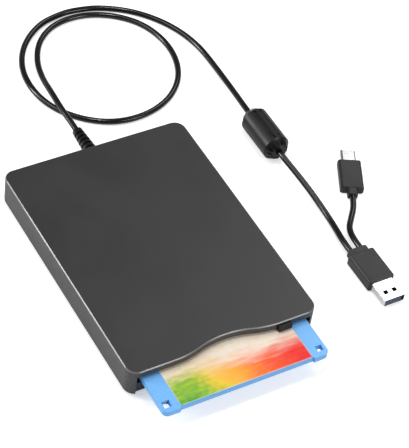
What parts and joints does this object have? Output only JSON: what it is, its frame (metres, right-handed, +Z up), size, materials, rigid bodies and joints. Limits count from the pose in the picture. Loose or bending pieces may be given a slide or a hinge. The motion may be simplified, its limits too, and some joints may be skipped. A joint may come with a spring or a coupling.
{
  "type": "external floppy disk drive",
  "caption": "Slim external drive for 3.5-inch floppy disks with a disk half out of its front slot, an eject button and a captive cord ending in two tethered plugs.",
  "frame": {"origin": "on the surface the feet stand on, under the middle of the drive with its disk as far out as in the picture (case plus disk, cord left out)", "axes": "+Z up, +Y from the disk slot to the back wall where the cord leaves, +X to the right when the slot faces the viewer"},
  "size_m": [0.1876, 0.2834, 0.018],
  "materials": {
    "case_plastic": "fine satin texture, charcoal",
    "base_plastic": "fine satin texture, charcoal",
    "button_plastic": "satin, charcoal",
    "foot_rubber": "soft matt rubber",
    "screw_steel": "plated steel",
    "plated_sheet": "zinc-plated sheet, satin",
    "spring_steel": "drawn spring wire",
    "board_green": "glass-epoxy board with green mask",
    "stator_copper": "enamelled copper windings on a steel core",
    "bearing_bronze": "sintered bronze",
    "rotor_steel": "turned steel",
    "magnet_black": "bonded magnet",
    "motor_can": "drawn steel can",
    "inner_plastic": "glass-filled black plastic",
    "head_ceramic": "polished ceramic",
    "chip_black": "moulded chip package",
    "socket_white": "natural nylon",
    "ribbon_film": "flat flexible cable",
    "wire_jacket": "wire insulation",
    "disk_blue": "satin blue plastic",
    "label_paper": "printed paper label",
    "tab_plastic": "satin black plastic",
    "shutter_metal": "thin stainless sheet",
    "media_film": "coated film",
    "hub_steel": "pressed steel",
    "liner_fabric": "non-woven liner",
    "cord_black": "soft PVC jacket, satin",
    "choke_plastic": "moulded black plastic",
    "ferrite": "sintered ferrite",
    "plug_plastic": "moulded PVC, satin",
    "plug_metal": "nickel-plated sheet",
    "tongue_plastic": "dark blue insulator",
    "contact_gold": "gold-plated contact",
    "insert_black": "black insulator"
  },
  "bodies": {
    "case": {"top_cover": "case_plastic", "bottom_cover": "base_plastic", "rubber_feet": "foot_rubber", "case_screws": "screw_steel", "chassis": "plated_sheet", "inner_screws": "screw_steel", "slide_springs": "spring_steel", "motor_board": "board_green", "stator": "stator_copper", "spindle_bearing": "bearing_bronze", "stepper_bracket": "plated_sheet", "stepper_motor": "motor_can", "screw_end_bearing": "inner_plastic", "guide_rod": "rotor_steel", "rod_clips": "inner_plastic", "drive_board": "board_green", "board_chips": "chip_black", "board_sockets": "socket_white", "ribbon_cable": "ribbon_film", "usb_board": "board_green", "inner_wires": "wire_jacket", "sense_switches": "chip_black", "strain_relief": "cord_black", "main_cord": "cord_black", "choke_shell": "choke_plastic", "choke_core": "ferrite", "usb_a_body": "plug_plastic", "usb_a_metal": "plug_metal", "usb_a_tongue": "tongue_plastic", "usb_a_contacts": "contact_gold", "tether_cord": "cord_black", "usb_c_body": "plug_plastic", "usb_c_metal": "plug_metal", "usb_c_insert": "insert_black"},
    "eject_slide": {"slide_plate": "plated_sheet", "eject_button": "button_plastic"},
    "holder": {"disk_holder": "plated_sheet", "holder_pins": "screw_steel", "lever_rivet": "screw_steel"},
    "lever": {"shutter_lever": "plated_sheet"},
    "floppy_disk": {"disk_shell_top": "disk_blue", "disk_shell_bottom": "disk_blue", "disk_label": "label_paper", "disk_liners": "liner_fabric"},
    "shutter": {"disk_shutter": "shutter_metal"},
    "protect_tab": {"write_protect_tab": "tab_plastic"},
    "magnetic_disc": {"disk_media": "media_film", "disk_hub": "hub_steel"},
    "rotor": {"spindle_rotor": "rotor_steel", "rotor_magnet": "magnet_black", "drive_pin": "screw_steel"},
    "screw": {"lead_screw": "rotor_steel"},
    "carriage": {"head_carriage": "inner_plastic", "lower_head": "head_ceramic", "arm_pivot_pin": "screw_steel"},
    "upper_arm": {"upper_head_arm": "plated_sheet", "upper_head": "head_ceramic"},
    "plunger_protect": {"write_protect_plunger": "socket_white"},
    "plunger_density": {"density_plunger": "socket_white"},
    "plunger_disk": {"disk_in_plunger": "socket_white"}
  },
  "joints": [
    {"name": "eject_press", "type": "slide", "parent": "case", "child": "eject_slide", "axis": [0, 1, 0], "range_m": [-0.003, 0.0006], "stiffness_N_per_m": 2000},
    {"name": "holder_drop", "type": "slide", "parent": "case", "child": "holder", "axis": [0, 0, 1], "range_m": [-0.00115, 0.00025]},
    {"name": "lever_swing", "type": "hinge", "parent": "holder", "child": "lever", "pos_m": [-0.036, 0.033, 0.0142], "axis": [0, 0, 1], "range_deg": [-12, 56]},
    {"name": "disk_insert", "type": "slide", "parent": "holder", "child": "floppy_disk", "axis": [0, 1, 0], "range_m": [-0.075, 0.0237]},
    {"name": "shutter_open", "type": "slide", "parent": "floppy_disk", "child": "shutter", "axis": [1, 0, 0], "range_m": [0, 0.012], "stiffness_N_per_m": 40},
    {"name": "protect_slide", "type": "slide", "parent": "floppy_disk", "child": "protect_tab", "axis": [0, 1, 0], "range_m": [-0.0049, 0]},
    {"name": "disc_spin", "type": "hinge", "parent": "floppy_disk", "child": "magnetic_disc", "pos_m": [0, -0.03485, 0.0115], "axis": [0, 0, 1], "continuous": true},
    {"name": "spindle_spin", "type": "hinge", "parent": "case", "child": "rotor", "pos_m": [0, -0.01115, 0.006], "axis": [0, 0, 1], "continuous": true},
    {"name": "head_step", "type": "slide", "parent": "case", "child": "carriage", "axis": [0, 1, 0], "range_m": [-0.0148, 0]},
    {"name": "lead_screw_spin", "type": "hinge", "parent": "case", "child": "screw", "pos_m": [0.013, 0.045, 0.0094], "axis": [0, 1, 0], "range_deg": [0, 1780]},
    {"name": "arm_lift", "type": "hinge", "parent": "carriage", "child": "upper_arm", "pos_m": [0, 0.055, 0.0126], "axis": [1, 0, 0], "range_deg": [-0.6, 2.5]},
    {"name": "protect_switch_press", "type": "slide", "parent": "case", "child": "plunger_protect", "axis": [0, 0, 1], "range_m": [-0.0009, 0], "stiffness_N_per_m": 100},
    {"name": "density_switch_press", "type": "slide", "parent": "case", "child": "plunger_density", "axis": [0, 0, 1], "range_m": [-0.0009, 0], "stiffness_N_per_m": 100},
    {"name": "disk_switch_press", "type": "slide", "parent": "case", "child": "plunger_disk", "axis": [0, 0, 1], "range_m": [-0.0009, 0], "stiffness_N_per_m": 100}
  ],
  "couplings": [
    {"joint": "holder_drop", "follows": "eject_press", "ratio": 0.36667},
    {"joint": "lever_swing", "follows": "eject_press", "rad_per_m": -319.98},
    {"joint": "arm_lift", "follows": "eject_press", "rad_per_m": -13.759},
    {"joint": "lead_screw_spin", "follows": "head_step", "rad_per_m": -2094.4}
  ]
}
